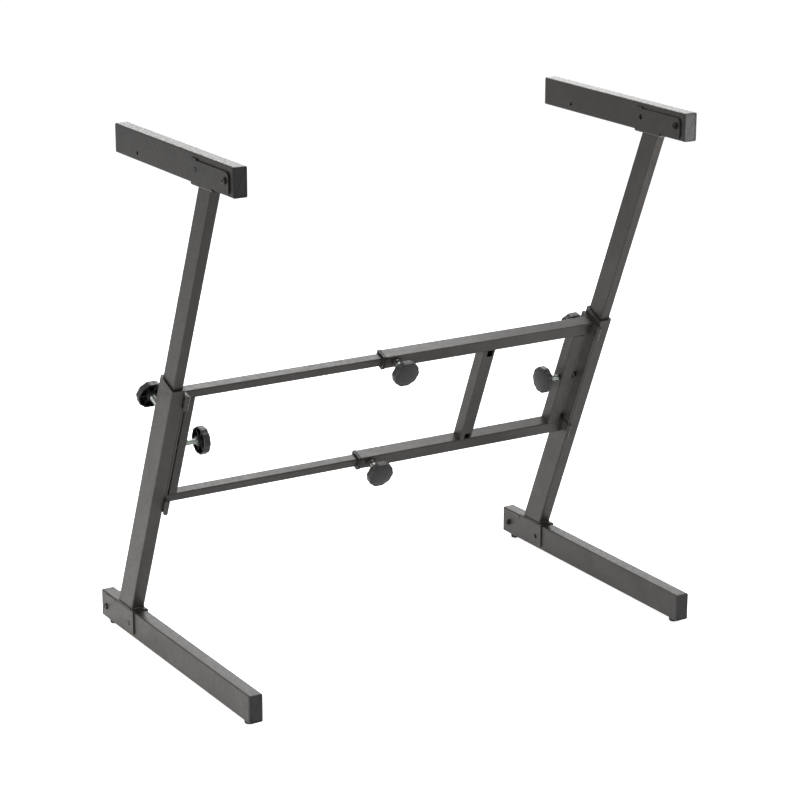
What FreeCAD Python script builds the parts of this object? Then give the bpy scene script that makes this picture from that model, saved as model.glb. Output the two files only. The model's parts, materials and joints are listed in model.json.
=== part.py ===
import FreeCAD, Part
import math
import os

# Folding keyboard stand of rectangular steel tube, shaped like a Z in side view.
#
# A telescoping centre frame carries two telescoping legs on leaning hinges.  Each leg stands on a
# long foot and carries a long arm.  Both swing on a bolt, so that they can lie along the leg.
#
# Axes: +X from the left leg to the right leg, -Y towards the tips of the feet, +Z up.
# Origin: on the floor, in the middle of the feet.  Lengths are in millimetres.

# ---------------------------------------------------------------- driving dimensions

# the stand as it is set up
leg_spacing = 878.0        # between the middle planes of the two legs
leg_lean = 22.5            # degrees that the legs lean from vertical
leg_extension = 393.0      # from the top of the leg tube up to the seat of the arm bracket

# leg tube (outer) and upper tube (inner)
leg_width = 25.0
leg_depth = 50.0
leg_wall = 1.5
leg_tube_length = 498.0
upper_width = 18.5
upper_depth = 41.0
upper_wall = 1.5
upper_overlap = 175.0      # length of the upper tube that stays hidden in the leg tube

# feet and arms
foot_width = 25.0
foot_height = 50.0
foot_reach = 470.5         # from the leg's axis to the tip
foot_tail = 98.0           # from the leg's axis to the back end
arm_width = 25.0
arm_height = 50.0
arm_reach = 321.5
arm_tail = 104.0
limb_wall = 1.5
cap_thickness = 4.0
cap_plug_length = 14.0
cap_chamfer = 1.2
cap_field_margin = 3.5     # from the cap's edge to its sunk field
cap_field_depth = 0.8
arm_hole_radius = 3.0      # cross hole near the arm's free end
arm_hole_inset = 84.0
arm_hole_height = 13.0     # above the arm's underside

# rubber pads under the feet
pad_height = 8.5
pad_radius = 8.5
pad_taper = 1.0
pad_body_height = 5.5      # below the narrower neck
pad_neck_radius = 6.5
pad_inset = 25.0           # from either end of the foot

# folded brackets between a leg and its foot or arm
bracket_thickness = 2.5
bracket_gap = 0.3          # between the bracket and the tube that it holds
bracket_half_web = 37.0    # the web reaches this far either side of the leg's axis
bracket_bend_radius = 3.3
bracket_plate_height = 42.5
bracket_tab_length = 19.0  # the plates are deeper at the end away from the pivot
bracket_tab_height = 2.5
bracket_relief_radius = 2.2    # at the end of each bend
bracket_step = 5.3         # the pivot ears stand this much lower than the web
bracket_ear_margin = 12.7  # from the pivot to the end of the ears
bracket_ear_radius = 9.5
foot_pivot_offset = 74.0   # from the leg's axis to the pivot bolt
arm_pivot_offset = 79.5    # more, so that the folded arm clears the hinge barrels
button_offset = 20.0       # from the leg's axis to the lock button, on the other side

# pivot bolts and lock buttons
bolt_radius = 3.0
bolt_head_radius = 5.25
bolt_head_height = 3.3
bolt_head_round = 2.4
bolt_socket_flats = 4.0
bolt_socket_depth = 2.1
bolt_nut_flats = 10.0
bolt_nut_height = 5.0
bolt_end = 1.5             # the thread stands this much out of the nut
washer_radius = 6.2
washer_thickness = 1.2
running_gap = 0.06         # radial clearance of a shaft that turns in a hole
button_radius = 3.9
button_gap = 0.1
button_proud = 0.6         # the button stands this much out of the bracket
button_window_gap = 0.6    # the bracket's hole is this much larger than the button
spring_strip_thickness = 1.0
spring_strip_width = 14.0
spring_strip_length = 42.0

# centre frame
rail_size = 25.0
rail_wall = 1.5
inner_rail_size = 17.0
lower_rail_height = 245.5  # along the leg, from the leg's foot
rail_spacing = 229.0
rail_mouth = -23.3         # x of the open end of the outer rails
inner_rail_end = 116.6     # x of the inner rails' hidden end
middle_post_x = 200.0
right_post_gap = 16.4      # from a leg's inner face to the post beside it
left_post_gap = 15.2
post_notch = 12.7          # square notches at the ends of the middle post
post_notch_shift = 2.0     # the notches are this far right of the post's middle

# plastic collars and guides where the tubes slide
slide_gap = 0.15
rail_collar_flange = 6.0
rail_collar_lip = 0.8
rail_collar_groove = 1.3
leg_collar_flange = 2.0
rail_collar_depth = 12.0
leg_collar_depth = 24.0
nub_radius = 2.5           # the leg collar's nubs snap into holes in the leg tube
nub_drop = 12.0            # below the leg tube's top
nub_forward = 11.7         # in front of the leg's middle
nub_sink = 0.3             # below the tube's surface
guide_length = 12.0

# hinges between the frame and the legs
leaf_thickness = 2.5
strip_thickness = 3.0      # the long leaf on the leg
leaf_height = 28.0
leaf_gap = 0.3             # between the two leaves when closed
leaf_back_margin = 1.0     # the leaves reach this far behind the leg's back face
knuckle_radius = 4.3
knuckle_forward = 4.8      # hinge axis in front of the leg's front face
knuckle_gap = 0.4          # between knuckles along the pin
knuckle_relief = 1.0       # from the knuckle of the other leaf to the plate
pin_radius = 2.3
pin_head = 1.2
pin_head_extra = 1.2       # the head's radius beyond the pin's
pin_tail = 0.8

# clamp knobs
knob_radius = 25.0
knob_rim_thickness = 13.0
knob_crown = 2.0
knob_round = 2.5           # edge between the rim and the crowned face
knob_shell = 3.0
knob_hub_radius = 9.0
knob_hub_extra = 3.0       # the hub stands this much proud of the rim
knob_lobes = 10
knob_lobe_depth = 1.0
knob_lobe_radius = 7.0
knob_ribs = 6
knob_rib_thickness = 2.0
stud_radius = 4.95
stud_embed = 8.0
thread_chamfer = 0.8
nut_bore_gap = 0.05
nut_outer_radius = 8.0
nut_length = 7.0
tip_gap = 0.3              # between a clamp screw's tip and the tube that it clamps
stud_hole_gap = 0.5
width_knob_standoff = 42.0 # from the rail's face to the knob's face
width_knob_inset = 21.2    # from the rail's open end to the knob's axis
lock_knob_standoff = 39.6
lock_tip_gap = 0.6         # the lock screws are drawn back this far from the legs
height_knob_standoff = 47.5
height_knob_drop = 72.0    # below the leg tube's top

tube_corner_radius = 2.5
small_corner_radius = 2.0

# ---------------------------------------------------------------- worked out from the above

leg_x = leg_spacing / 2
foot_top = pad_height + foot_height
leg_seat_z = foot_top + bracket_gap + bracket_thickness
foot_length = foot_reach + foot_tail
leg_base_y = foot_length / 2 - foot_tail
leg_to_arm = leg_tube_length + leg_extension
lean = math.radians(leg_lean)
arm_seat_y = leg_base_y - leg_to_arm * math.sin(lean)
arm_seat_z = leg_seat_z + leg_to_arm * math.cos(lean)
foot_mid_z = pad_height + foot_height / 2
arm_bottom_z = arm_seat_z + bracket_thickness + bracket_gap
arm_mid_z = arm_bottom_z + arm_height / 2
upper_rail_height = lower_rail_height + rail_spacing
lock_height = lower_rail_height + rail_spacing / 2
height_knob_height = leg_tube_length - height_knob_drop
leg_inner_x = leg_x - leg_width / 2
strip_x = leg_inner_x - strip_thickness
hinge_x = strip_x - leaf_gap / 2
leaf_outer_x = strip_x - leaf_gap
leaf_end_x = leaf_outer_x - leaf_thickness
hinge_y = -(leg_depth / 2 + knuckle_forward)
leaf_front_y = hinge_y + knuckle_radius + knuckle_relief
leaf_back_y = leg_depth / 2 + leaf_back_margin
right_post_x = leg_inner_x - right_post_gap
left_post_x = leg_inner_x - left_post_gap
width_knob_x = rail_mouth + width_knob_inset


# ---------------------------------------------------------------- helpers

def vec(x, y, z):
    return FreeCAD.Vector(x, y, z)


def box(x0, x1, y0, y1, z0, z1):
    """A block between two corners."""
    return Part.makeBox(x1 - x0, y1 - y0, z1 - z0, vec(x0, y0, z0))


def rod(radius, start, direction, length):
    """A round bar from start along direction."""
    return Part.makeCylinder(radius, length, start, direction)


def ring(outer_radius, inner_radius, start, direction, length):
    """A round bar with a hole through it."""
    return rod(outer_radius, start, direction, length).cut(rod(inner_radius, start, direction, length))


def bar(width, depth, length, radius):
    """A bar along +Z with rounded long edges, centred on the Z axis."""
    block = box(-width / 2, width / 2, -depth / 2, depth / 2, 0, length)
    if radius <= 0:
        return block
    long_edges = [e for e in block.Edges if abs(e.BoundBox.ZLength - length) < 1e-6]
    return block.makeFillet(radius, long_edges)


def tube(width, depth, length, wall, radius):
    """A rectangular tube along +Z, centred on the Z axis."""
    outside = bar(width, depth, length, radius)
    inside = bar(width - 2 * wall, depth - 2 * wall, length, max(radius - wall, 0.4))
    return outside.cut(inside)


def along_x(shape):
    """Turns a shape made along +Z to lie along +X."""
    return shape.rotated(vec(0, 0, 0), vec(0, 1, 0), 90)


def along_y(shape):
    """Turns a shape made along +Z to lie along +Y."""
    return shape.rotated(vec(0, 0, 0), vec(1, 0, 0), -90)


def moved(shape, x, y, z):
    return shape.translated(vec(x, y, z))


def leaned(shape):
    """Carries a shape from the leg's upright frame to its leaning place.

    In the upright frame Z runs up the leg from its foot and -Y is the leg's front.
    """
    turned = shape.rotated(vec(0, 0, 0), vec(1, 0, 0), leg_lean)
    return moved(turned, 0, leg_base_y, leg_seat_z)


def mirrored(shape):
    """The same piece for the left leg."""
    return shape.mirror(vec(0, 0, 0), vec(1, 0, 0))


def joined(shapes):
    """One solid from pieces that touch or overlap."""
    result = shapes[0]
    for shape in shapes[1:]:
        result = result.fuse(shape)
    return result.removeSplitter()


def group(shapes):
    """Separate solids kept in one node."""
    return Part.makeCompound(shapes)


def hexagon(flats, start, direction, length):
    """A hexagonal bar from start along direction."""
    corner = flats / math.sqrt(3)
    points = [vec(corner * math.cos(math.radians(a)), corner * math.sin(math.radians(a)), 0)
              for a in range(0, 361, 60)]
    prism = Part.Face(Part.makePolygon(points)).extrude(vec(0, 0, length))
    prism.Placement = FreeCAD.Placement(start, FreeCAD.Rotation(vec(0, 0, 1), direction))
    return prism


# ---------------------------------------------------------------- legs

def knob_stud_hole(start, direction, length):
    return rod(stud_radius + stud_hole_gap, start, direction, length)


def make_leg_tube():
    """Outer tube of a leg, its foot end cut level so that it sits on the bracket."""
    overshoot = leg_depth
    body = tube(leg_width, leg_depth, leg_tube_length + overshoot, leg_wall, tube_corner_radius)
    body = leaned(moved(body, leg_x, 0, -overshoot))
    floor_cut = box(leg_x - leg_width, leg_x + leg_width, leg_base_y - 2 * leg_depth,
                    leg_base_y + 2 * leg_depth, leg_seat_z - 2 * leg_depth, leg_seat_z)
    height_hole = knob_stud_hole(vec(leg_x, 0, height_knob_height), vec(0, 1, 0), leg_depth)
    lock_hole = knob_stud_hole(vec(leg_x, 0, lock_height), vec(-1, 0, 0), leg_width)
    nub_hole = rod(nub_radius, vec(leg_x - leg_width, -nub_forward, leg_tube_length - nub_drop),
                   vec(1, 0, 0), 2 * leg_width)
    for hole in (height_hole, lock_hole, nub_hole):
        body = body.cut(leaned(hole))
    return body.cut(floor_cut)


def make_leg_collar():
    """Plastic sleeve in the leg tube's mouth, with a thin flange on top and a nub on either side."""
    hole_width = upper_width + 2 * slide_gap
    hole_depth = upper_depth + 2 * slide_gap
    flange = bar(leg_width, leg_depth, leg_collar_flange, tube_corner_radius)
    sleeve = bar(leg_width - 2 * leg_wall, leg_depth - 2 * leg_wall, leg_collar_depth,
                 tube_corner_radius - leg_wall)
    nub_reach = leg_width / 2 - nub_sink
    nubs = rod(nub_radius, vec(-nub_reach, -nub_forward, leg_collar_depth - nub_drop), vec(1, 0, 0),
               2 * nub_reach)
    body = joined([moved(flange, 0, 0, leg_collar_depth), sleeve, nubs])
    body = body.cut(bar(hole_width, hole_depth, leg_collar_depth + leg_collar_flange, 0))
    return leaned(moved(body, leg_x, 0, leg_tube_length - leg_collar_depth))


def make_upper_tube():
    """Inner tube of a leg, its top cut level under the arm bracket."""
    overshoot = upper_depth
    bottom = leg_tube_length - upper_overlap
    length = leg_to_arm - bottom + overshoot
    body = tube(upper_width, upper_depth, length, upper_wall, small_corner_radius)
    body = leaned(moved(body, leg_x, 0, bottom))
    top_cut = box(leg_x - leg_width, leg_x + leg_width, arm_seat_y - 3 * leg_depth,
                  arm_seat_y + 3 * leg_depth, arm_seat_z, arm_seat_z + 3 * leg_depth)
    return body.cut(top_cut)


# ---------------------------------------------------------------- brackets, feet and arms

def make_bracket(limb_width, limb_height, pivot_offset):
    """U-shaped bracket, seat upwards at z = 0, pivot ears towards +Y."""
    inner = limb_width + 2 * bracket_gap
    outer = inner + 2 * bracket_thickness
    ear_end = pivot_offset + bracket_ear_margin
    length = ear_end + bracket_half_web
    deepest = bracket_plate_height + bracket_tab_height
    tab_end = bracket_tab_length - bracket_half_web
    channel = bar(outer, 2 * deepest, length, bracket_bend_radius)
    hollow = bar(inner, 2 * (deepest - bracket_thickness), length, bracket_bend_radius - bracket_thickness)
    channel = moved(along_y(channel.cut(hollow)), 0, -bracket_half_web, -deepest)
    outline = [
        vec(-outer, -bracket_half_web, 0),
        vec(-outer, bracket_half_web, 0),
        vec(-outer, bracket_half_web, -bracket_step),
        vec(-outer, ear_end, -bracket_step),
        vec(-outer, ear_end, -bracket_plate_height),
        vec(-outer, tab_end, -bracket_plate_height),
        vec(-outer, tab_end, -deepest),
        vec(-outer, -bracket_half_web, -deepest),
        vec(-outer, -bracket_half_web, 0),
    ]
    side = Part.Face(Part.makePolygon(outline)).extrude(vec(2 * outer, 0, 0))
    ear_edges = [e for e in side.Edges if e.BoundBox.XLength > outer and e.CenterOfMass.y > ear_end - 0.1]
    side = side.makeFillet(bracket_ear_radius, ear_edges)
    body = channel.common(side)
    drop = pivot_drop(limb_height)
    pivot = rod(bolt_radius, vec(-outer, pivot_offset, -drop), vec(1, 0, 0), 2 * outer)
    window = rod(button_radius + button_gap + button_window_gap, vec(-outer, -button_offset, -drop),
                 vec(1, 0, 0), 2 * outer)
    relief = rod(bracket_relief_radius, vec(-outer, bracket_half_web, -bracket_step), vec(1, 0, 0),
                 2 * outer)
    return body.cut(pivot).cut(window).cut(relief)


def pivot_drop(limb_height):
    """Depth of the pivot below the bracket's seat: half way down the limb that it holds."""
    return bracket_thickness + bracket_gap + limb_height / 2


def make_limb(width, height, length, pivot_y, button_y):
    """Foot or arm tube along +Y from y = 0, centred in z, with its pivot and button holes."""
    body = along_y(tube(width, height, length, limb_wall, tube_corner_radius))
    pivot = rod(bolt_radius + running_gap, vec(-width, pivot_y, 0), vec(1, 0, 0), 2 * width)
    button = rod(button_radius + button_gap, vec(0, button_y, 0), vec(1, 0, 0), width)
    return body.cut(pivot).cut(button)


def make_cap(width, height):
    """End cap, outer face towards -Y at y = 0, plug reaching back along +Y."""
    plate = bar(width, height, cap_thickness, tube_corner_radius)
    rim = [e for e in plate.Edges if e.BoundBox.ZLength < 1e-6 and e.BoundBox.ZMin < 1e-6]
    plate = plate.makeChamfer(cap_chamfer, rim)
    field = bar(width - 2 * cap_field_margin, height - 2 * cap_field_margin, cap_field_depth,
                tube_corner_radius - limb_wall)
    plug = tube(width - 2 * limb_wall, height - 2 * limb_wall, cap_plug_length, limb_wall,
                tube_corner_radius - limb_wall)
    body = joined([plate.cut(field), moved(plug, 0, 0, cap_thickness)])
    return along_y(body)


def make_cap_pair(width, height, length):
    """Both end caps of a foot or arm that runs along +Y from y = 0 to length."""
    first = make_cap(width, height)
    second = first.rotated(vec(0, 0, 0), vec(0, 0, 1), 180)
    return group([first, moved(second, 0, length, 0)])


def make_pads():
    """Rubber pads pressed into the foot's underside, near both ends."""
    pads = []
    for y in (pad_inset, foot_length - pad_inset):
        body = Part.makeCone(pad_radius - pad_taper, pad_radius, pad_body_height, vec(0, y, 0))
        neck = rod(pad_neck_radius, vec(0, y, pad_body_height), vec(0, 0, 1), pad_height - pad_body_height)
        pads.append(joined([body, neck]))
    return group(pads)


def make_pivot_bolt(limb_width):
    """Button-head bolt along X through a bracket, its head on the +X side, with washers and a nut."""
    along = vec(1, 0, 0)
    half = limb_width / 2 + bracket_gap + bracket_thickness
    seat = half + washer_thickness
    tail = seat + bolt_nut_height + bolt_end
    shank = rod(bolt_radius, vec(-tail, 0, 0), along, tail + seat)
    head = rod(bolt_head_radius, vec(seat, 0, 0), along, bolt_head_height)
    crown = [e for e in head.Edges if e.BoundBox.XMin > seat + bolt_head_height - 0.01]
    head = head.makeFillet(bolt_head_round, crown)
    socket_start = vec(seat + bolt_head_height - bolt_socket_depth, 0, 0)
    bolt = joined([shank, head]).cut(hexagon(bolt_socket_flats, socket_start, along, bolt_socket_depth))
    nut_start = vec(-seat - bolt_nut_height, 0, 0)
    nut = hexagon(bolt_nut_flats, nut_start, along, bolt_nut_height)
    nut = nut.cut(rod(bolt_radius, nut_start, along, bolt_nut_height))
    washers = [ring(washer_radius, bolt_radius, vec(x, 0, 0), along, washer_thickness)
               for x in (half, -seat)]
    return group([bolt, nut] + washers)


def make_button(limb_width):
    """Snap button through the limb's outer wall and the bracket, on its spring strip."""
    face = limb_width / 2
    inside = face - limb_wall - button_gap
    tip = face + bracket_gap + bracket_thickness + button_proud
    stem = rod(button_radius, vec(inside, 0, 0), vec(1, 0, 0), tip - inside)
    rim = [e for e in stem.Edges if e.BoundBox.XMin > tip - 0.01]
    stem = stem.makeFillet(button_radius / 3, rim)
    half = spring_strip_width / 2
    strip = box(inside - spring_strip_thickness, inside, -half, spring_strip_length - half, -half, half)
    return joined([stem, strip])


def place_foot(shape):
    return moved(shape, leg_x, -foot_length / 2, foot_mid_z)


def place_arm(shape):
    return moved(shape, leg_x, arm_seat_y - arm_tail, arm_mid_z)


# ---------------------------------------------------------------- centre frame

def frame_place(shape, height):
    """Puts a shape made on the X axis at a rail's height in the leaning frame."""
    return leaned(moved(shape, 0, 0, height))


def make_rail(x0, x1, size, height):
    """Square rail from x0 to x1."""
    body = along_x(tube(size, size, x1 - x0, rail_wall, small_corner_radius))
    return frame_place(moved(body, x0, 0, 0), height)


def make_outer_rail(height):
    """Outer rail with the hole for its clamp screw in the front wall."""
    hole = knob_stud_hole(vec(width_knob_x, -rail_size, 0), vec(0, 1, 0), rail_size)
    return make_rail(rail_mouth, leaf_end_x, rail_size, height).cut(frame_place(hole, height))


def make_post(x, size):
    """Post between the rails."""
    low = lower_rail_height + size / 2
    high = upper_rail_height - size / 2
    return moved(tube(size, size, high - low, rail_wall, small_corner_radius), x, 0, low)


def make_middle_post():
    """Post with a small square notch in its front wall at each end."""
    body = make_post(middle_post_x, rail_size)
    low = lower_rail_height + rail_size / 2
    high = upper_rail_height - rail_size / 2 - post_notch
    left = middle_post_x + post_notch_shift - post_notch / 2
    for z in (low, high):
        body = body.cut(box(left, left + post_notch, -rail_size, 0, z, z + post_notch))
    return leaned(body)


def make_end_post(outer_x, size):
    """Post beside the right leg, drilled across for the lock screw."""
    x = outer_x - size / 2
    hole = knob_stud_hole(vec(x - size, 0, lock_height), vec(1, 0, 0), 2 * size)
    return leaned(make_post(x, size).cut(hole))


def make_rail_collar(height):
    """Grooved plastic collar on an outer rail's open end, with a sleeve inside."""
    outer = rail_size + 2 * rail_collar_lip
    hole = inner_rail_size + 2 * slide_gap
    flange = bar(outer, outer, rail_collar_flange, small_corner_radius)
    middle = rail_collar_flange / 2
    groove = bar(outer + 2, outer + 2, rail_collar_groove, 0).cut(
        bar(rail_size - 1, rail_size - 1, rail_collar_groove, small_corner_radius))
    flange = flange.cut(moved(groove, 0, 0, middle - rail_collar_groove / 2))
    sleeve_size = rail_size - 2 * rail_wall
    sleeve = bar(sleeve_size, sleeve_size, rail_collar_depth, small_corner_radius - rail_wall)
    body = joined([flange, moved(sleeve, 0, 0, rail_collar_flange)])
    body = body.cut(bar(hole, hole, rail_collar_depth + rail_collar_flange, 0))
    return frame_place(moved(along_x(body), rail_mouth - rail_collar_flange, 0, 0), height)


def make_rail_guide(height):
    """Plastic end plug that centres an inner rail's hidden end in the outer rail."""
    outer = rail_size - 2 * rail_wall - 2 * slide_gap
    head = bar(outer, outer, guide_length / 3, 0.5)
    plug = bar(inner_rail_size - 2 * rail_wall, inner_rail_size - 2 * rail_wall, guide_length, 0.5)
    body = joined([moved(head, 0, 0, guide_length), plug])
    return frame_place(moved(along_x(body), inner_rail_end - guide_length, 0, 0), height)


# ---------------------------------------------------------------- hinges

def hinge_heights():
    return (lower_rail_height, upper_rail_height)


def hinge_bore(radius, height):
    """Room for the pin of the hinge at a height on the leg."""
    return rod(radius, vec(hinge_x, hinge_y, height - leaf_height / 2), vec(0, 0, 1), leaf_height)


def make_knuckle(plate_x, thickness, low, high):
    """A barrel on the hinge axis and the neck that joins it to its plate."""
    barrel = rod(knuckle_radius, vec(hinge_x, hinge_y, low), vec(0, 0, 1), high - low)
    return barrel.fuse(box(plate_x, plate_x + thickness, hinge_y, leaf_front_y, low, high))


def make_frame_leaves():
    """The short leaves on the right ends of the rails, with a lower and an upper knuckle each."""
    leaves = []
    inner_half = leaf_height / 6 + knuckle_gap
    outer_half = leaf_height / 2
    for height in hinge_heights():
        plate = box(leaf_end_x, leaf_outer_x, leaf_front_y, leaf_back_y, height - outer_half,
                    height + outer_half)
        lower = make_knuckle(leaf_end_x, leaf_thickness, height - outer_half, height - inner_half)
        upper = make_knuckle(leaf_end_x, leaf_thickness, height + inner_half, height + outer_half)
        leaf = joined([plate, lower, upper]).cut(hinge_bore(pin_radius + running_gap, height))
        leaves.append(leaned(leaf))
    return group(leaves)


def make_hinge_strip():
    """The long leaf on the right leg's inner face, with a middle knuckle at both hinges."""
    low = lower_rail_height - leaf_height / 2
    high = upper_rail_height + leaf_height / 2
    strip = box(strip_x, leg_inner_x, leaf_front_y, leaf_back_y, low, high)
    strip = strip.cut(knob_stud_hole(vec(leg_inner_x, 0, lock_height), vec(-1, 0, 0), leg_width))
    for height in hinge_heights():
        knuckle = make_knuckle(strip_x, strip_thickness, height - leaf_height / 6, height + leaf_height / 6)
        strip = joined([strip, knuckle]).cut(hinge_bore(pin_radius, height))
    return leaned(strip)


def make_pins():
    """Hinge pins, held in the strip's knuckles, with a small head at the top."""
    pins = []
    for height in hinge_heights():
        foot = vec(hinge_x, hinge_y, height - leaf_height / 2 - pin_tail)
        top = vec(hinge_x, hinge_y, height + leaf_height / 2 + leaf_gap)
        shaft = rod(pin_radius, foot, vec(0, 0, 1), top.z - foot.z)
        head = rod(pin_radius + pin_head_extra, top, vec(0, 0, 1), pin_head)
        pins.append(leaned(joined([shaft, head])))
    return group(pins)


# ---------------------------------------------------------------- knobs

def make_knob_head():
    """Plastic knob, mounting face at z = 0 and gripped face towards +Z, its rim gently lobed."""
    face = knob_hub_extra + knob_rim_thickness
    outline = [
        vec(0, 0, 0),
        vec(knob_hub_radius, 0, 0),
        vec(knob_hub_radius, 0, face - knob_shell),
        vec(knob_radius - knob_shell, 0, face - knob_shell - 1),
        vec(knob_radius - knob_shell, 0, knob_hub_extra),
        vec(knob_radius, 0, knob_hub_extra),
        vec(knob_radius, 0, face - knob_round),
    ]
    edges = [Part.LineSegment(a, b).toShape() for a, b in zip(outline, outline[1:])]
    shoulder = vec(knob_radius - knob_round, 0, face)
    corner = knob_round * (1 - math.sqrt(0.5))
    bend = vec(knob_radius - corner, 0, face - corner)
    edges.append(Part.Arc(outline[-1], bend, shoulder).toShape())
    top = vec(0, 0, face + knob_crown)
    crown_radius = (shoulder.x ** 2 + knob_crown ** 2) / (2 * knob_crown)
    half_angle = math.asin(shoulder.x / crown_radius) / 2
    middle = top + vec(crown_radius * math.sin(half_angle), 0,
                       crown_radius * (math.cos(half_angle) - 1))
    edges.append(Part.Arc(shoulder, middle, top).toShape())
    edges.append(Part.LineSegment(top, outline[0]).toShape())
    profile = Part.Face(Part.Wire(edges))
    body = profile.revolve(vec(0, 0, 0), vec(0, 0, 1), 360)
    overlap = knob_shell / 6
    for i in range(knob_ribs):
        rib = box(knob_hub_radius - overlap, knob_radius - knob_shell + overlap, -knob_rib_thickness / 2,
                  knob_rib_thickness / 2, 2 * knob_hub_extra, face - knob_shell + overlap)
        body = body.fuse(rib.rotated(vec(0, 0, 0), vec(0, 0, 1), i * 360 / knob_ribs))
    reach = knob_radius - knob_lobe_depth + knob_lobe_radius
    for i in range(knob_lobes):
        angle = math.radians((i + 0.5) * 360 / knob_lobes)
        start = vec(reach * math.cos(angle), reach * math.sin(angle), 0)
        body = body.cut(rod(knob_lobe_radius, start, vec(0, 0, 1), face + knob_crown))
    socket = rod(stud_radius, vec(0, 0, 0), vec(0, 0, 1), stud_embed)
    return body.cut(socket)


def make_clamp(standoff, reach_in):
    """Knob head and stud on the Z axis; z = 0 is the face of the tube that holds the nut."""
    base = standoff - knob_rim_thickness - knob_hub_extra
    head = moved(make_knob_head(), 0, 0, base)
    stud = rod(stud_radius, vec(0, 0, -reach_in), vec(0, 0, 1), reach_in + base + stud_embed)
    tip = [e for e in stud.Edges if e.BoundBox.ZMax < -reach_in + 0.01 and e.BoundBox.ZLength < 0.01]
    return head, stud.makeChamfer(thread_chamfer, tip)


def make_weld_nut():
    """Round threaded boss standing on the tube's face at z = 0."""
    body = rod(nut_outer_radius, vec(0, 0, 0), vec(0, 0, 1), nut_length)
    top = [e for e in body.Edges if e.BoundBox.ZMin > nut_length - 0.01]
    body = body.makeChamfer(thread_chamfer, top)
    return body.cut(rod(stud_radius + nut_bore_gap, vec(0, 0, 0), vec(0, 0, 1), nut_length))


def aim(shape, x, y, z, direction):
    """Turns a shape made along +Z to point along direction and puts it on the leaning frame."""
    placed = shape.copy()
    turn = FreeCAD.Placement(vec(x, y, z), FreeCAD.Rotation(vec(0, 0, 1), direction))
    placed.Placement = turn.multiply(placed.Placement)
    return leaned(placed)


# ---------------------------------------------------------------- the whole stand

pieces = {}

# centre frame, right half: rails, posts, collars
for label, height in (("lower", lower_rail_height), ("upper", upper_rail_height)):
    pieces["outer_rail_" + label] = make_outer_rail(height)
    pieces["inner_rail_" + label] = make_rail(-leaf_end_x, inner_rail_end, inner_rail_size, height)
pieces["middle_post"] = make_middle_post()
pieces["right_post"] = make_end_post(right_post_x, rail_size)
pieces["left_post"] = mirrored(make_end_post(left_post_x, inner_rail_size))
pieces["rail_collars"] = group([make_rail_collar(h) for h in hinge_heights()])
pieces["rail_guides"] = group([make_rail_guide(h) for h in hinge_heights()])

# clamp screws of the centre frame, in front of the rails
front = -rail_size / 2
width_reach = (rail_size - inner_rail_size) / 2 - tip_gap
frame_nuts = []
for label, height in (("lower", lower_rail_height), ("upper", upper_rail_height)):
    head, stud = make_clamp(width_knob_standoff, width_reach)
    pieces["width_knob_" + label] = aim(head, width_knob_x, front, height, vec(0, -1, 0))
    pieces["width_stud_" + label] = aim(stud, width_knob_x, front, height, vec(0, -1, 0))
    frame_nuts.append(aim(make_weld_nut(), width_knob_x, front, height, vec(0, -1, 0)))

# lock screws through the end posts; their nuts stand in the gap beside each leg
right_lock_nut = aim(make_weld_nut(), right_post_x, 0, lock_height, vec(1, 0, 0))
pieces["frame_nuts"] = group(frame_nuts + [right_lock_nut])
pieces["left_lock_nut"] = mirrored(aim(make_weld_nut(), left_post_x, 0, lock_height, vec(1, 0, 0)))
for name, post_x, size in (("right", right_post_x, rail_size), ("left", left_post_x, inner_rail_size)):
    lock_face = post_x - size
    head, stud = make_clamp(lock_knob_standoff, strip_x - lock_tip_gap - lock_face)
    for kind, shape in (("lock_knob", head), ("lock_stud", stud)):
        placed = aim(shape, lock_face, 0, lock_height, vec(-1, 0, 0))
        pieces[name + "_" + kind] = placed if name == "right" else mirrored(placed)

# one leg with its hinges, foot and arm, made at the right and mirrored for the left
leg = {}
leg["frame_leaves"] = make_frame_leaves()
leg["hinge_strip"] = make_hinge_strip()
leg["hinge_pins"] = make_pins()
leg["leg_tube"] = make_leg_tube()
leg["leg_collar"] = make_leg_collar()
leg["upper_tube"] = make_upper_tube()
foot_bracket = make_bracket(foot_width, foot_height, foot_pivot_offset)
leg["foot_bracket"] = moved(foot_bracket, leg_x, leg_base_y, leg_seat_z)
arm_bracket = make_bracket(arm_width, arm_height, arm_pivot_offset).rotated(vec(0, 0, 0), vec(1, 0, 0), 180)
leg["arm_bracket"] = moved(arm_bracket, leg_x, arm_seat_y, arm_seat_z)

foot_pivot_y = foot_reach + foot_pivot_offset
foot_button_y = foot_reach - button_offset
arm_pivot_y = arm_tail - arm_pivot_offset
arm_button_y = arm_tail + button_offset
arm_length = arm_reach + arm_tail

foot_tube = make_limb(foot_width, foot_height, foot_length - 2 * cap_thickness,
                      foot_pivot_y - cap_thickness, foot_button_y - cap_thickness)
leg["foot_tube"] = place_foot(moved(foot_tube, 0, cap_thickness, 0))
leg["foot_caps"] = place_foot(make_cap_pair(foot_width, foot_height, foot_length))
leg["foot_pads"] = moved(make_pads(), leg_x, -foot_length / 2, 0)
leg["foot_bolt"] = place_foot(moved(make_pivot_bolt(foot_width), 0, foot_pivot_y, 0))
leg["foot_button"] = place_foot(moved(make_button(foot_width), 0, foot_button_y, 0))

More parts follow.
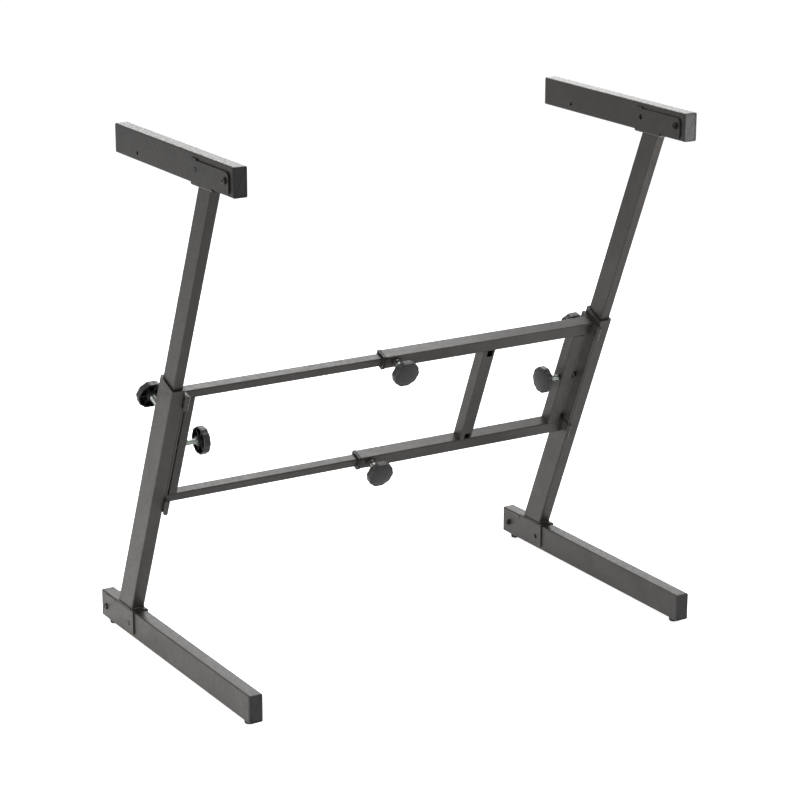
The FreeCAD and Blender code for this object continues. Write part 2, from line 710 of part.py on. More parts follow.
arm_tube = make_limb(arm_width, arm_height, arm_length - 2 * cap_thickness,
                     arm_pivot_y - cap_thickness, arm_button_y - cap_thickness)
arm_hole_start = vec(-arm_width, arm_length - arm_hole_inset - cap_thickness,
                     arm_hole_height - arm_height / 2)
arm_tube = arm_tube.cut(rod(arm_hole_radius, arm_hole_start, vec(1, 0, 0), 2 * arm_width))
leg["arm_tube"] = place_arm(moved(arm_tube, 0, cap_thickness, 0))
leg["arm_caps"] = place_arm(make_cap_pair(arm_width, arm_height, arm_length))
leg["arm_bolt"] = place_arm(moved(make_pivot_bolt(arm_width), 0, arm_pivot_y, 0))
leg["arm_button"] = place_arm(moved(make_button(arm_width), 0, arm_button_y, 0))

# height clamp on the back of the leg tube
back = leg_depth / 2
height_reach = (leg_depth - upper_depth) / 2 - tip_gap
head, stud = make_clamp(height_knob_standoff, height_reach)
leg["height_knob"] = aim(head, leg_x, back, height_knob_height, vec(0, 1, 0))
leg["height_stud"] = aim(stud, leg_x, back, height_knob_height, vec(0, 1, 0))
leg["height_nut"] = aim(make_weld_nut(), leg_x, back, height_knob_height, vec(0, 1, 0))

for name, shape in leg.items():
    pieces["right_" + name] = shape
    pieces["left_" + name] = mirrored(shape)

os.makedirs("parts", exist_ok=True)
for name, shape in pieces.items():
    if not shape.isValid():
        raise ValueError(name + " is not a valid shape")
    shape.exportStep("parts/" + name + ".step")
    print(name, len(shape.Solids), "solids", round(shape.Volume / 1000, 2), "cm3")
print(len(pieces), "pieces")
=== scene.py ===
import bpy, bmesh, json, math
from mathutils import Matrix, Vector


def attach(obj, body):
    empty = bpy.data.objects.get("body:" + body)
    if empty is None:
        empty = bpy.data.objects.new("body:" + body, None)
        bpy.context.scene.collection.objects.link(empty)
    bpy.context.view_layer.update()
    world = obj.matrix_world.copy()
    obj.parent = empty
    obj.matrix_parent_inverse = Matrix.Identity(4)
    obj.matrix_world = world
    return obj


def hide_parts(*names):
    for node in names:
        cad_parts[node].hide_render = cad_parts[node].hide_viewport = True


# Folding keyboard stand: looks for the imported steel, plastic and rubber pieces.
# Metres, +X to the right leg, -Y to the tips of the feet, +Z up.

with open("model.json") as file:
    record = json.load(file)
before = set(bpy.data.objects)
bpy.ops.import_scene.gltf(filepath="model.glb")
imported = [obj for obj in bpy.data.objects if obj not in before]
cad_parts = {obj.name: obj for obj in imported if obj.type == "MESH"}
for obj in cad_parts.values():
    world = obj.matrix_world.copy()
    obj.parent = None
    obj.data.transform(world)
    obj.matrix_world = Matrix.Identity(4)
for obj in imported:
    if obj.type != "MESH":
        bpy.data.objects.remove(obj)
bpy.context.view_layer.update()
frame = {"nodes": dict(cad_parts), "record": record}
nodes = frame["nodes"]
members = frame["record"]["behaviour"]["bodies"]


def linearColour(hexText):
    # sRGB hex to the linear values that the shaders mix in
    channels = [int(hexText[i:i + 2], 16) / 255 for i in (1, 3, 5)]
    linear = [c / 12.92 if c <= 0.04045 else ((c + 0.055) / 1.055) ** 2.4 for c in channels]
    return (*linear, 1.0)


def addNode(tree, kind, settings=None, links=None):
    # settings are fields of the node or values of its sockets, links feed its other sockets
    node = tree.nodes.new(kind)
    for key, value in (settings or {}).items():
        if isinstance(key, str) and key not in node.inputs and hasattr(node, key):
            setattr(node, key, value)
        else:
            node.inputs[key].default_value = value
    for key, source in (links or {}).items():
        tree.links.new(source, node.inputs[key])
    return node


def newMaterial(name):
    material = bpy.data.materials.new(name)
    material.use_nodes = True
    tree = material.node_tree
    tree.nodes.clear()
    place = addNode(tree, "ShaderNodeTexCoord").outputs["Object"]
    return material, tree, place


def grain(tree, place, millimetres, detail=2.0, roughness=0.5):
    # noise whose blobs are about that many millimetres across
    return addNode(tree, "ShaderNodeTexNoise",
                   {"Scale": 1000 / millimetres, "Detail": detail, "Roughness": roughness},
                   {"Vector": place}).outputs["Fac"]


def spread(tree, source, low, high):
    # stretches the middle of a noise between two values
    settings = {"From Min": 0.3, "From Max": 0.7, "To Min": low, "To Max": high}
    return addNode(tree, "ShaderNodeMapRange", settings, {"Value": source}).outputs["Result"]


def closeShader(tree, settings, links):
    shader = addNode(tree, "ShaderNodeBsdfPrincipled", settings, links)
    addNode(tree, "ShaderNodeOutputMaterial", None, {"Surface": shader.outputs["BSDF"]})


# Powder-coated steel tube, sprayed and baked: a thick satin skin with a fine orange peel that
# breaks up the reflections, slightly browner where the coat is thin.
powderCoat = {"body": "#2c2927", "thin": "#373330", "orangePeel": 1.6, "cloud": 45.0, "peelDepth": 0.00002}


def powderCoatedSteel():
    material, tree, place = newMaterial("powderCoatedSteel")
    cloud = grain(tree, place, powderCoat["cloud"], 3.0)
    tone = addNode(tree, "ShaderNodeMix", {"data_type": "RGBA"}, {0: spread(tree, cloud, 0.0, 1.0)})
    tone.inputs[6].default_value = linearColour(powderCoat["body"])
    tone.inputs[7].default_value = linearColour(powderCoat["thin"])
    peel = grain(tree, place, powderCoat["orangePeel"], 1.0)
    bump = addNode(tree, "ShaderNodeBump", {"Strength": 0.6, "Distance": powderCoat["peelDepth"]},
                   {"Height": peel})
    rough = spread(tree, grain(tree, place, powderCoat["cloud"] / 6), 0.36, 0.46)
    closeShader(tree, {"IOR": 1.45, "Specular IOR Level": 0.3},
                {"Base Color": tone.outputs[2], "Roughness": rough, "Normal": bump.outputs["Normal"]})
    return material


# Injection-moulded nylon: matt black with a fine spark-eroded grain, paler in patches.
mouldedNylon = {"body": "#151515", "worn": "#1e1d1d", "grain": 0.9, "cloud": 12.0}


def mouldedBlackNylon():
    material, tree, place = newMaterial("mouldedBlackNylon")
    tone = addNode(tree, "ShaderNodeMix", {"data_type": "RGBA"},
                   {0: spread(tree, grain(tree, place, mouldedNylon["cloud"]), 0.0, 1.0)})
    tone.inputs[6].default_value = linearColour(mouldedNylon["body"])
    tone.inputs[7].default_value = linearColour(mouldedNylon["worn"])
    bump = addNode(tree, "ShaderNodeBump", {"Strength": 0.5, "Distance": 0.00003},
                   {"Height": grain(tree, place, mouldedNylon["grain"])})
    rough = spread(tree, grain(tree, place, mouldedNylon["cloud"] / 4), 0.42, 0.55)
    closeShader(tree, {"IOR": 1.53, "Specular IOR Level": 0.28},
                {"Base Color": tone.outputs[2], "Roughness": rough, "Normal": bump.outputs["Normal"]})
    return material


# Vulcanised rubber: flat charcoal that scatters nearly all its light, with a chalky bloom.
padRubber = {"body": "#141413", "bloom": "#1f1e1c", "grain": 1.2, "cloud": 6.0}


def vulcanisedRubber():
    material, tree, place = newMaterial("vulcanisedRubber")
    tone = addNode(tree, "ShaderNodeMix", {"data_type": "RGBA"},
                   {0: spread(tree, grain(tree, place, padRubber["cloud"], 4.0), 0.0, 1.0)})
    tone.inputs[6].default_value = linearColour(padRubber["body"])
    tone.inputs[7].default_value = linearColour(padRubber["bloom"])
    bump = addNode(tree, "ShaderNodeBump", {"Strength": 0.5, "Distance": 0.00004},
                   {"Height": grain(tree, place, padRubber["grain"])})
    rough = spread(tree, grain(tree, place, padRubber["cloud"] / 2), 0.75, 0.88)
    closeShader(tree, {"IOR": 1.52}, {"Base Color": tone.outputs[2], "Roughness": rough,
                                      "Normal": bump.outputs["Normal"]})
    return material


# Zinc-plated steel, rolled thread: bright cool grey metal with a faint cloudy passivation.
zincPlate = {"body": "#b4b9b3", "cloudy": "#8f948f", "cloud": 3.5, "scratch": 0.8}


def zincPlatedSteel():
    material, tree, place = newMaterial("zincPlatedSteel")
    tone = addNode(tree, "ShaderNodeMix", {"data_type": "RGBA"},
                   {0: spread(tree, grain(tree, place, zincPlate["cloud"], 4.0), 0.0, 1.0)})
    tone.inputs[6].default_value = linearColour(zincPlate["body"])
    tone.inputs[7].default_value = linearColour(zincPlate["cloudy"])
    bump = addNode(tree, "ShaderNodeBump", {"Strength": 0.3, "Distance": 0.00001},
                   {"Height": grain(tree, place, zincPlate["scratch"])})
    rough = spread(tree, grain(tree, place, zincPlate["cloud"] / 2), 0.24, 0.42)
    closeShader(tree, {"Metallic": 1.0}, {"Base Color": tone.outputs[2], "Roughness": rough,
                                          "Normal": bump.outputs["Normal"]})
    return material


# Steel turned black in a hot oxide bath and oiled: dark metal with a soft sheen, brown in worn patches.
blackOxide = {"body": "#343231", "worn": "#4b4540", "cloud": 2.5}


def blackOxideSteel():
    material, tree, place = newMaterial("blackOxideSteel")
    tone = addNode(tree, "ShaderNodeMix", {"data_type": "RGBA"},
                   {0: spread(tree, grain(tree, place, blackOxide["cloud"], 3.0), 0.0, 1.0)})
    tone.inputs[6].default_value = linearColour(blackOxide["body"])
    tone.inputs[7].default_value = linearColour(blackOxide["worn"])
    rough = spread(tree, grain(tree, place, blackOxide["cloud"] / 2), 0.3, 0.45)
    closeShader(tree, {"Metallic": 0.8}, {"Base Color": tone.outputs[2], "Roughness": rough})
    return material


finishes = {"black_powder_coated_steel": powderCoatedSteel(), "black_plastic": mouldedBlackNylon(),
            "black_rubber": vulcanisedRubber(), "zinc_plated_steel": zincPlatedSteel(),
            "black_oxide_steel": blackOxideSteel()}
slotOfNode = {part["node"]: part["material_slot"] for part in frame["record"]["subparts"]}
for name, node in nodes.items():
    node.data.materials.clear()
    node.data.materials.append(finishes[slotOfNode[name]])
print("gave the five finishes to the packed pieces")


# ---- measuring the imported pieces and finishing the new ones

jointOf = {joint["name"]: joint for joint in frame["record"]["behaviour"]["joints"]}
legUp = Vector(jointOf["right_height_slide"]["axis"]).normalized()
lean = Vector((0, 0, 1)).rotation_difference(legUp).to_matrix().to_4x4()  # legs and centre frame
upright = Matrix.Identity(4)
sides = ("right", "left")
mm = 0.001


def span(name, turn=upright):
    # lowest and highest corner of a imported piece, along the axes of a turned frame
    points = [turn.inverted() @ vertex.co for vertex in nodes[name].data.vertices]
    return (Vector([min(p[i] for p in points) for i in range(3)]),
            Vector([max(p[i] for p in points) for i in range(3)]))


def middle(low, high):
    return (low + high) / 2


def facing(turn, place, direction):
    # matrix that stands a piece made along +Z at a place of a turned frame, pointing along a direction of it
    aimed = Vector((0, 0, 1)).rotation_difference(direction).to_matrix().to_4x4()
    return turn @ Matrix.Translation(place) @ aimed


def finishPiece(shape, name, body, slot, replaced=(), soften=35):
    # closes the mesh, turns its faces outwards, shades it and hangs it on its body
    bmesh.ops.remove_doubles(shape, verts=shape.verts, dist=1e-7)
    bmesh.ops.recalc_face_normals(shape, faces=shape.faces)
    mesh = bpy.data.meshes.new(name)
    shape.to_mesh(mesh)
    shape.free()
    mesh.shade_smooth()
    mesh.set_sharp_from_angle(angle=math.radians(soften))
    mesh.materials.append(finishes[slot])
    piece = bpy.data.objects.new(name, mesh)
    bpy.context.scene.collection.objects.link(piece)
    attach(piece, body)
    if replaced:
        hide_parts(*replaced)
    return piece


def bodyOf(node):
    return next(body for body, held in members.items() if node in held)


def spinProfile(shape, points, steps, place, angle=360):
    # turns a profile of (radius, height) points in millimetres about its own Z axis
    verts = [shape.verts.new((radius * mm, 0, height * mm)) for radius, height in points]
    edges = [shape.edges.new(pair) for pair in zip(verts, verts[1:])]
    made = bmesh.ops.spin(shape, geom=verts + edges, cent=(0, 0, 0), axis=(0, 0, 1), dvec=(0, 0, 0),
                          angle=math.radians(angle), steps=steps, use_merge=angle == 360, use_duplicate=False)
    bmesh.ops.remove_doubles(shape, verts=shape.verts, dist=1e-7)
    return made


def block(shape, low, high, place, radius=0.0, segments=3, along=2):
    # a block between two corners in millimetres, its long edges along one axis rounded
    size = [(h - l) * mm for l, h in zip(low, high)]
    centre = Vector([(h + l) / 2 * mm for l, h in zip(low, high)])
    made = bmesh.ops.create_cube(shape, size=1.0)["verts"]
    bmesh.ops.scale(shape, vec=size, verts=made)
    bmesh.ops.translate(shape, vec=centre, verts=made)
    if radius:
        edges = [e for e in {e for v in made for e in v.link_edges}
                 if abs((e.verts[0].co - e.verts[1].co)[along]) > size[along] * 0.9]
        rounded = bmesh.ops.bevel(shape, geom=edges, offset=radius * mm, segments=segments, profile=0.5,
                                  affect="EDGES", material=-1)
        made = list({v for v in made if v.is_valid} | set(rounded["verts"]))
    bmesh.ops.transform(shape, matrix=place, verts=made)
    return made


def join(target, part, place):
    # adds one bmesh to another at a place
    bmesh.ops.transform(part, matrix=place, verts=part.verts)
    mesh = bpy.data.meshes.new("part")
    part.to_mesh(mesh)
    part.free()
    target.from_mesh(mesh)
    bpy.data.meshes.remove(mesh)


# ---- clamp screws: six moulded knobs on threaded studs

threadedStud = {"pitch": 1.5, "majorRadius": 4.92, "rootRadius": 4.05, "coreRadius": 4.15, "stepsPerTurn": 20,
                "tipRadius": 3.3, "tipLength": 1.1}


def threadedStudShape(length):
    # rolled thread: a closed V ridge wound up a plain core that ends in a turned-down tip
    core = bmesh.new()
    low = threadedStud["tipLength"]
    spinProfile(core, [(0, 0), (threadedStud["tipRadius"], 0), (threadedStud["coreRadius"], low),
                       (threadedStud["coreRadius"], length), (0, length)], 24, upright)
    pitch, root, major = (threadedStud[k] for k in ("pitch", "rootRadius", "majorRadius"))
    ridge = bmesh.new()
    corners = [(root, 0), (major, pitch * 0.42), (major, pitch * 0.56), (root, pitch * 0.98)]
    verts = [ridge.verts.new((radius * mm, 0, (low * 0.6 + height) * mm)) for radius, height in corners]
    ring = [ridge.edges.new((verts[i], verts[(i + 1) % 4])) for i in range(4)]
    turns = (length - low - pitch) / pitch
    steps = int(turns * threadedStud["stepsPerTurn"])
    startCap = bmesh.ops.edgeloop_fill(ridge, edges=ring)["faces"]
    made = bmesh.ops.spin(ridge, geom=verts + ring, cent=(0, 0, 0), axis=(0, 0, 1),
                          dvec=(0, 0, turns * pitch * mm / steps), angle=turns * 2 * math.pi, steps=steps)
    lastEdges = [item for item in made["geom_last"] if isinstance(item, bmesh.types.BMEdge)]
    bmesh.ops.edgeloop_fill(ridge, edges=lastEdges)
    join(core, ridge, upright)
    return core


clampKnob = {"radius": 25.0, "hubRadius": 9.0, "hubProud": 3.0, "rim": 13.0, "crown": 2.0, "wall": 3.0,
             "lobes": 10, "lobeDepth": 1.1, "stepsPerLobe": 8, "ribs": 6, "ribWidth": 1.8}


def clampKnobShape():
    # moulded in one piece: hub, hollow ribbed back, softly lobed rim and a domed face inside a fine step
    knob = bmesh.new()
    face = clampKnob["hubProud"] + clampKnob["rim"]
    outer, hub, wall = clampKnob["radius"], clampKnob["hubRadius"], clampKnob["wall"]
    lip = clampKnob["hubProud"]
    roof = face - wall
    crown = clampKnob["crown"]
    dome = [(r, face + crown * (1 - (r / (outer - 3.6)) ** 2)) for r in (19.0, 15.0, 10.0, 5.0, 0.0)]
    profile = [(0, 0), (hub - 1.0, 0), (hub - 0.3, 0.3), (hub, 1.0), (hub, roof), (outer - wall, roof - 0.6),
               (outer - wall, lip + 0.5), (outer - wall + 0.5, lip), (outer - 0.7, lip), (outer, lip + 0.8),
               (outer, face - 2.6), (outer - 0.35, face - 1.3), (outer - 1.1, face - 0.45),
               (outer - 2.4, face), (outer - 3.3, face + 0.1), (outer - 3.7, face - 0.3),
               (outer - 4.2, face - 0.3)] + dome
    steps = clampKnob["lobes"] * clampKnob["stepsPerLobe"]
    spinProfile(knob, profile, steps, upright)
    for vertex in knob.verts:
        reach = math.hypot(vertex.co.x, vertex.co.y)
        if reach > (outer - 2.5) * mm:  # the rim alone swells and narrows
            wave = (1 - math.cos(clampKnob["lobes"] * math.atan2(vertex.co.y, vertex.co.x))) / 2
            vertex.co.xy *= 1 - clampKnob["lobeDepth"] * mm * wave ** 2 / reach
    for i in range(clampKnob["ribs"]):
        half = clampKnob["ribWidth"] / 2
        turn = Matrix.Rotation(2 * math.pi * i / clampKnob["ribs"], 4, "Z")
        block(knob, (hub - 0.5, -half, 2 * lip), (outer - wall + 0.4, half, roof + 0.4), turn)
    return knob


# knob node: its stud and the direction in the leaning frame that its gripped face looks
clamps = {
    "width_knob_lower": ("width_stud_lower", (0, -1, 0)),
    "width_knob_upper": ("width_stud_upper", (0, -1, 0)),
    "right_lock_knob": ("right_lock_stud", (-1, 0, 0)),
    "left_lock_knob": ("left_lock_stud", (1, 0, 0)),
    "right_height_knob": ("right_height_stud", (0, 1, 0)),
    "left_height_knob": ("left_height_stud", (0, 1, 0)),
}
for knobNode, (studNode, way) in clamps.items():
    direction = Vector(way)
    low, high = span(studNode, lean)
    length = abs((high - low).dot(direction))
    tip = middle(low, high) - direction * length / 2
    stud = threadedStudShape(length / mm)
    bmesh.ops.transform(stud, matrix=facing(lean, tip, direction), verts=stud.verts)
    finishPiece(stud, studNode + "_thread", bodyOf(studNode), "zinc_plated_steel", [studNode], 30)
    low, high = span(knobNode, lean)
    depth = abs((high - low).dot(direction))
    knob = clampKnobShape()
    bmesh.ops.transform(knob, matrix=facing(lean, middle(low, high) - direction * depth / 2, direction),
                        verts=knob.verts)
    finishPiece(knob, knobNode + "_moulding", bodyOf(knobNode), "black_plastic", [knobNode])
print("turned", len(clamps), "knobs and threaded studs")


# ---- end caps of the feet and arms

endCap = {"plate": 4.0, "cornerRadius": 2.5, "edgeRound": 0.8, "fieldMargin": 2.4, "fieldDepth": 0.8,
          "plugLength": 14.0, "plugGap": 1.5}


def endCapShape(width, height):
    # moulded cap, outer face towards -Y: rounded edge, sunk field, and a solid plug with rounded edges
    cap = bmesh.new()
    plate = block(cap, (-width / 2, 0, -height / 2), (width / 2, endCap["plate"], height / 2), upright,
                  endCap["cornerRadius"], 5, along=1)
    rim = [e for e in cap.edges if all(v.co.y < 1e-6 for v in e.verts)]
    bmesh.ops.bevel(cap, geom=rim, offset=endCap["edgeRound"] * mm, segments=3, profile=0.5, affect="EDGES",
                    material=-1)
    front = min(cap.faces, key=lambda f: f.calc_center_median().y - f.calc_area())
    for thickness, depth in ((endCap["fieldMargin"] - endCap["edgeRound"], 0.0), (0.5, endCap["fieldDepth"])):
        bmesh.ops.inset_region(cap, faces=[front], thickness=thickness * mm, depth=0.0)
        bmesh.ops.translate(cap, vec=(0, depth * mm, 0), verts=front.verts)
    half, tall = width / 2 - endCap["plugGap"], height / 2 - endCap["plugGap"]
    block(cap, (-half, endCap["plate"], -tall), (half, endCap["plate"] + endCap["plugLength"], tall), upright,
          1.0, 3, along=1)
    return cap


for side in sides:
    for limb in ("foot", "arm"):
        low, high = span(side + "_" + limb + "_caps")
        width, height = (high.x - low.x) / mm, (high.z - low.z) / mm
        pair = endCapShape(width, height)
        centre = middle(low, high)
        bmesh.ops.translate(pair, vec=(centre.x, low.y, centre.z), verts=pair.verts)
        back = endCapShape(width, height)
        join(pair, back, Matrix.Translation((centre.x, high.y, centre.z)) @ Matrix.Rotation(math.pi, 4, "Z"))
        node = side + "_" + limb + "_caps"
        finishPiece(pair, side + "_" + limb + "_end_caps", bodyOf(node), "black_plastic", [node])
print("moulded the end caps")


# ---- rubber pads

footPad = {"radius": 8.5, "baseRadius": 7.5, "bodyHeight": 5.5, "neckRadius": 6.5, "groove": 0.6,
           "grooveLevels": (1.7, 3.5)}


def footPadShape(height):
    # moulded pad: cupped sole, two grip grooves, and the neck that is pressed into the foot
    pad = bmesh.new()
    base, radius, body, neck = (footPad[k] for k in ("baseRadius", "radius", "bodyHeight", "neckRadius"))
    dip = footPad["groove"]
    profile = [(0, 0.5), (base - 2.2, 0.5), (base - 1.6, 0), (base - 0.5, 0), (base, 0.5)]
    for level in footPad["grooveLevels"]:
        side = base + (radius - base) * level / body
        profile += [(side, level - 0.6), (side - dip, level - 0.2), (side - dip, level + 0.2),
                    (side, level + 0.6)]
    profile += [(radius, body - 0.7), (radius - 0.6, body), (neck, body + 0.1), (neck, height), (0, height)]
    spinProfile(pad, profile, 32, upright)
    return pad


for side in sides:
    low, high = span(side + "_foot_pads")
    pads = bmesh.new()
    for y in (low.y + footPad["radius"] * mm, high.y - footPad["radius"] * mm):
        join(pads, footPadShape((high.z - low.z) / mm), Matrix.Translation(((low.x + high.x) / 2, y, low.z)))
    node = side + "_foot_pads"
    finishPiece(pads, side + "_rubber_pads", bodyOf(node), "black_rubber", [node])
print("moulded the rubber pads")


# ---- hinge pins

hingePin = {"radius": 2.3, "headRadius": 3.5, "headHeight": 1.5}


def hingePinShape(length):
    # riveted pin with a domed head on top and a chamfered tail
    pin = bmesh.new()
    radius, head, rise = hingePin["radius"], hingePin["headRadius"], hingePin["headHeight"]
    seat = length - 1.2
    dome = [(head * math.cos(a), seat + 0.3 + rise * math.sin(a)) for a in (0.0, 0.45, 0.9, 1.25)]
    spinProfile(pin, [(0, 0), (radius - 0.5, 0), (radius, 0.5), (radius, seat), (head, seat)] + dome
                + [(0, seat + 0.3 + rise)], 24, upright)
    return pin


for side in sides:
    low, high = span(side + "_hinge_pins", lean)
    pins = bmesh.new()
    length = high.z - low.z - (span("outer_rail_upper", lean)[0].z - span("outer_rail_lower", lean)[0].z)
    for foot in (low.z, high.z - length):
        centre = middle(low, high)
        place = facing(lean, Vector((centre.x, centre.y, foot)), Vector((0, 0, 1)))
        join(pins, hingePinShape(length / mm), place)
    finishPiece(pins, side + "_riveted_pins", bodyOf(side + "_hinge_pins"), "black_oxide_steel",
                [side + "_hinge_pins"])
print("riveted the hinge pins")


# ---- weld beads, under the same coat as the tubes

weldBead = {"radius": 1.9, "ripple": 1.5, "swell": 0.16, "endScale": 0.5, "sides": 8, "tackHalfLength": 3.5,
            "tackFromScrew": 8.3, "stitches": 4, "stitchHalfLength": 9}


def weldLine(shape, start, end):
    # one pass of the torch between two points in metres: rings that swell and shrink, closed at both ends
    run = end - start
    count = max(4, 2 * round(run.length / mm / weldBead["ripple"]))
    turn = facing(upright, start, run.normalized())
    size = weldBead["endScale"]
    ring = bmesh.ops.create_circle(shape, cap_ends=True, segments=weldBead["sides"],
                                   radius=weldBead["radius"] * mm * size, matrix=turn)["verts"]
    face = ring[0].link_faces[0]
    for i in range(1, count + 1):
        wanted = 1 + (weldBead["swell"] if i % 2 else -weldBead["swell"])
        wanted = weldBead["endScale"] if i == count else wanted
        grown = bmesh.ops.extrude_discrete_faces(shape, faces=[face])["faces"][0]
        bmesh.ops.translate(shape, vec=run / count, verts=grown.verts)
        centre = grown.calc_center_median()
        bmesh.ops.scale(shape, vec=(wanted / size,) * 3, verts=grown.verts, space=Matrix.Translation(-centre))
        face, size = grown, wanted


def leaned(x, y, z):
    return lean @ Vector((x, y, z))


def postWelds(shape, post, lowerRail, upperRail):
    # a bead along either side of the post where it stands on a rail
    low, high = span(post, lean)
    inset = (high.y - low.y) * 0.2
    for x in (low.x, high.x):
        for z in (span(lowerRail, lean)[1].z, span(upperRail, lean)[0].z):
            weldLine(shape, leaned(x, low.y + inset, z), leaned(x, high.y - inset, z))


def leafWelds(shape, rail, outward):
    # beads across the rail's end, above and below, where the hinge leaf is welded on
    low, high = span(rail, lean)
    x = high.x if outward > 0 else low.x
    inset = (high.y - low.y) * 0.15
    for z in (low.z, high.z):
        weldLine(shape, leaned(x, low.y + inset, z), leaned(x, high.y - inset, z))


def nutTacks(shape, stud, tube, way, across):
    # two short beads that hold a nut, either side of it on the face of the tube that looks that way
    direction, across = Vector(way), Vector(across)
    along = direction.cross(across) * weldBead["tackHalfLength"] * mm
    spot = middle(*span(stud, lean))
    low, high = span(tube, lean)
    for axis in (0, 1):
        if direction[axis]:
            spot[axis] = high[axis] if direction[axis] > 0 else low[axis]
    reach = across * weldBead["tackFromScrew"] * mm
    for offset in (reach, -reach):
        weldLine(shape, lean @ (spot + offset - along), lean @ (spot + offset + along))


outerWelds = bmesh.new()
for post in ("middle_post", "right_post"):
    postWelds(outerWelds, post, "outer_rail_lower", "outer_rail_upper")
innerWelds = bmesh.new()
postWelds(innerWelds, "left_post", "inner_rail_lower", "inner_rail_upper")
for level in ("lower", "upper"):
    leafWelds(outerWelds, "outer_rail_" + level, 1)
    leafWelds(innerWelds, "inner_rail_" + level, -1)
    nutTacks(outerWelds, "width_stud_" + level, "outer_rail_" + level, (0, -1, 0), (1, 0, 0))
nutTacks(outerWelds, "right_lock_stud", "right_post", (1, 0, 0), (0, 0, 1))
nutTacks(innerWelds, "left_lock_stud", "left_post", (-1, 0, 0), (0, 0, 1))
finishPiece(outerWelds, "outer_frame_welds", "outer_frame", "black_powder_coated_steel", soften=60)
finishPiece(innerWelds, "inner_frame_welds", "inner_frame", "black_powder_coated_steel", soften=60)

for side in sides:
    legWelds = bmesh.new()
    seat = span(side + "_foot_bracket")[1].z
    low, high = span(side + "_leg_tube")
    foot = [vertex.co for vertex in nodes[side + "_leg_tube"].data.vertices if vertex.co.z < seat + 1 * mm]
    front, back = min(v.y for v in foot), max(v.y for v in foot)
    inset = 3 * mm
    for y in (front, back):
        weldLine(legWelds, Vector((low.x + inset, y, seat)), Vector((high.x - inset, y, seat)))
    for x in (low.x, high.x):
        weldLine(legWelds, Vector((x, front + inset, seat)), Vector((x, back - inset, seat)))
    stripLow, stripHigh = span(side + "_hinge_strip", lean)
    tubeLow, tubeHigh = span(side + "_leg_tube", lean)
    edge = tubeLow.x if side == "right" else tubeHigh.x
    stitches, half = weldBead["stitches"], weldBead["stitchHalfLength"] * mm
    for i in range(stitches):  # short stitches hold the hinge strip along the back of the leg
        z = stripLow.z + (stripHigh.z - stripLow.z) * (i + 0.5) / stitches
        y = tubeHigh.y - 0.6 * mm
        weldLine(legWelds, leaned(edge, y, z - half), leaned(edge, y, z + half))
    nutTacks(legWelds, side + "_height_stud", side + "_leg_tube", (0, 1, 0), (0, 0, 1))
    finishPiece(legWelds, side + "_leg_welds", side + "_leg", "black_powder_coated_steel", soften=60)

    armWelds = bmesh.new()
    seat = span(side + "_arm_bracket")[0].z
    low, high = span(side + "_upper_tube")
    top = [vertex.co for vertex in nodes[side + "_upper_tube"].data.vertices if vertex.co.z > seat - 1 * mm]
    front, back = min(v.y for v in top), max(v.y for v in top)
    for y in (front, back):
        weldLine(armWelds, Vector((low.x + inset, y, seat)), Vector((high.x - inset, y, seat)))
    for x in (low.x, high.x):
        weldLine(armWelds, Vector((x, front + inset, seat)), Vector((x, back - inset, seat)))
    finishPiece(armWelds, side + "_arm_welds", side + "_upper", "black_powder_coated_steel", soften=60)
print("laid the weld beads")


# ---- camera, lamps, floor

cameraSettings = {"azimuth": -31.43, "elevation": 17.02, "roll": 0.14, "distance": 4.5229,
                  "target": (-0.00157, -0.01997, 0.42756), "lens": 114.969}


def placeCamera():
    azimuth, elevation, roll = (math.radians(cameraSettings[k]) for k in ("azimuth", "elevation", "roll"))
    outward = Vector((math.sin(azimuth) * math.cos(elevation), -math.cos(azimuth) * math.cos(elevation),
                      math.sin(elevation)))
    right = Vector((math.cos(azimuth), math.sin(azimuth), 0))
    up = outward.cross(right)
    rolledRight = math.cos(roll) * right + math.sin(roll) * up
    rolledUp = math.cos(roll) * up - math.sin(roll) * right
    data = bpy.data.cameras.new("camera")
    data.lens = cameraSettings["lens"]
    data.sensor_width = 36
    camera = bpy.data.objects.new("camera", data)
    bpy.context.scene.collection.objects.link(camera)
    turn = Matrix((rolledRight, rolledUp, outward)).transposed().to_4x4()
    camera.matrix_world = Matrix.Translation(Vector(cameraSettings["target"])
                                             + outward * cameraSettings["distance"]) @ turn
    bpy.context.scene.camera = camera


placeCamera()

# place and aim in metres, size as width and height, spread in degrees, power in watts
lamps = {
    "leftLow": {"place": (-2.2, -0.6, 0.2), "aim": (0, 0, 0.05), "size": (2.0, 0.5), "spread": 55,
                "power": 10},
    "frontFill": {"place": (1.6, -3.4, 1.0), "aim": (0, 0, 0.4), "size": (1.6, 1.6), "spread": 180,
                  "power": 7},
    "overhead": {"place": (0.85, 1.1, 2.9), "aim": (0, 0, 0.4), "size": (1.5, 1.9), "spread": 180,
                 "power": 95},
    "backLow": {"place": (1.5, 2.6, 1.4), "aim": (0, 0, 0.4), "size": (2.4, 0.9), "spread": 180, "power": 26},
    "rightCard": {"place": (1.25, -1.45, 0.42), "aim": (0.41, -0.24, 0.86), "size": (0.4, 0.4), "spread": 40,
                  "power": 1.2},
}


def hangLamp(name, settings):
    data = bpy.data.lights.new(name, "AREA")
    data.shape = "RECTANGLE"
    data.size, data.size_y = settings["size"]
    data.spread = math.radians(settings["spread"])
    data.energy = settings["power"]
    light = bpy.data.objects.new(name, data)
    light.location = settings["place"]
    light.rotation_euler = (Vector(settings["aim"]) - light.location).to_track_quat("-Z", "Y").to_euler()
    bpy.context.scene.collection.objects.link(light)


for name, settings in lamps.items():
    hangLamp(name, settings)

studio = {"background": "#ffffff", "fill": "#f4f4f6", "fillStrength": 0.16, "paper": "#e8e8e8",
          "floorSize": 30.0, "floorGlow": 0.9}


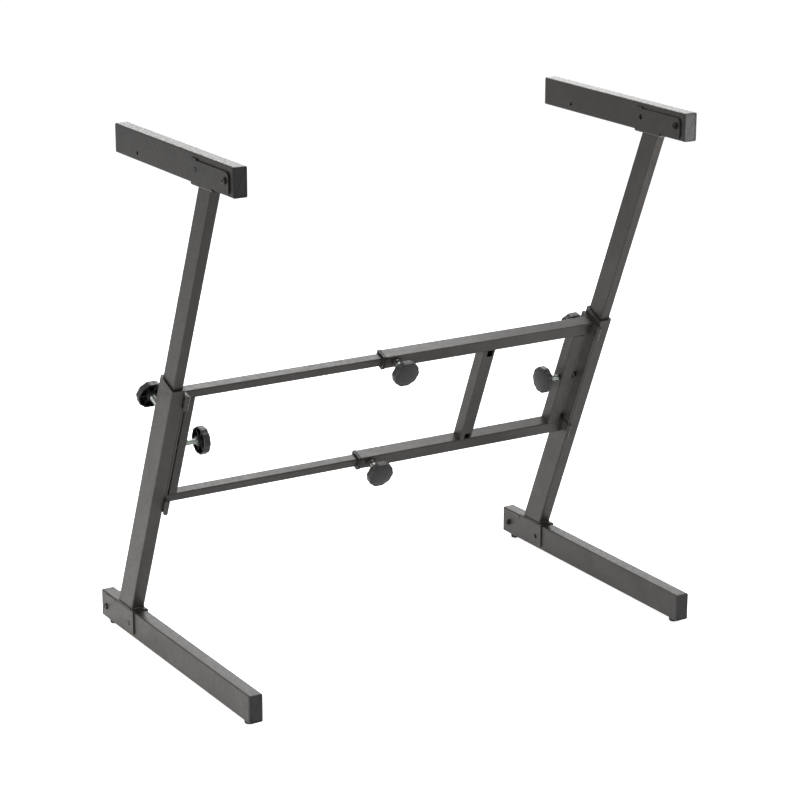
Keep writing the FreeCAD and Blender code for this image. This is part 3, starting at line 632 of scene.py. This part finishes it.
def whiteWorld():
    # seen white by the camera and in reflections, but a softer fill for matt surfaces
    world = bpy.data.worlds.new("studio")
    bpy.context.scene.world = world
    world.use_nodes = True
    tree = world.node_tree
    tree.nodes.clear()
    path = addNode(tree, "ShaderNodeLightPath")
    direct = addNode(tree, "ShaderNodeMath", {"operation": "MAXIMUM"},
                     {0: path.outputs["Is Camera Ray"], 1: path.outputs["Is Transmission Ray"]})
    direct = addNode(tree, "ShaderNodeMath", {"operation": "MAXIMUM"},
                     {0: direct.outputs[0], 1: path.outputs["Is Glossy Ray"]})
    fill = addNode(tree, "ShaderNodeBackground", {"Color": linearColour(studio["fill"]),
                                                  "Strength": studio["fillStrength"]})
    plain = addNode(tree, "ShaderNodeBackground", {"Color": linearColour(studio["background"]),
                                                   "Strength": 1.0})
    mixed = addNode(tree, "ShaderNodeMixShader", None, {0: direct.outputs[0], 1: fill.outputs[0],
                                                        2: plain.outputs[0]})
    addNode(tree, "ShaderNodeOutputWorld", None, {"Surface": mixed.outputs[0]})


def paleFloor():
    # white paper sweep: a glow the camera sees brings it to white, and the shadow still darkens it
    shape = bmesh.new()
    bmesh.ops.create_grid(shape, x_segments=1, y_segments=1, size=studio["floorSize"])
    bmesh.ops.translate(shape, verts=shape.verts, vec=(0, 0, -0.0004))
    mesh = bpy.data.meshes.new("floor")
    shape.to_mesh(mesh)
    shape.free()
    floor = bpy.data.objects.new("floor", mesh)
    bpy.context.scene.collection.objects.link(floor)
    material, tree, place = newMaterial("paperSweep")
    path = addNode(tree, "ShaderNodeLightPath")
    seen = addNode(tree, "ShaderNodeMath", {"operation": "MAXIMUM"},
                   {0: path.outputs["Is Camera Ray"], 1: path.outputs["Is Glossy Ray"]})
    strength = addNode(tree, "ShaderNodeMath", {"operation": "MULTIPLY", 1: studio["floorGlow"]},
                       {0: seen.outputs[0]})
    glow = addNode(tree, "ShaderNodeEmission", {"Color": (1, 1, 1, 1)}, {"Strength": strength.outputs[0]})
    paper = addNode(tree, "ShaderNodeBsdfDiffuse", {"Color": linearColour(studio["paper"])})
    both = addNode(tree, "ShaderNodeAddShader", None, {0: glow.outputs[0], 1: paper.outputs[0]})
    addNode(tree, "ShaderNodeOutputMaterial", None, {"Surface": both.outputs[0]})
    mesh.materials.append(material)


whiteWorld()
paleFloor()
bpy.context.scene.view_settings.view_transform = "Standard"
print("set the camera, the lamps, the floor and the world")
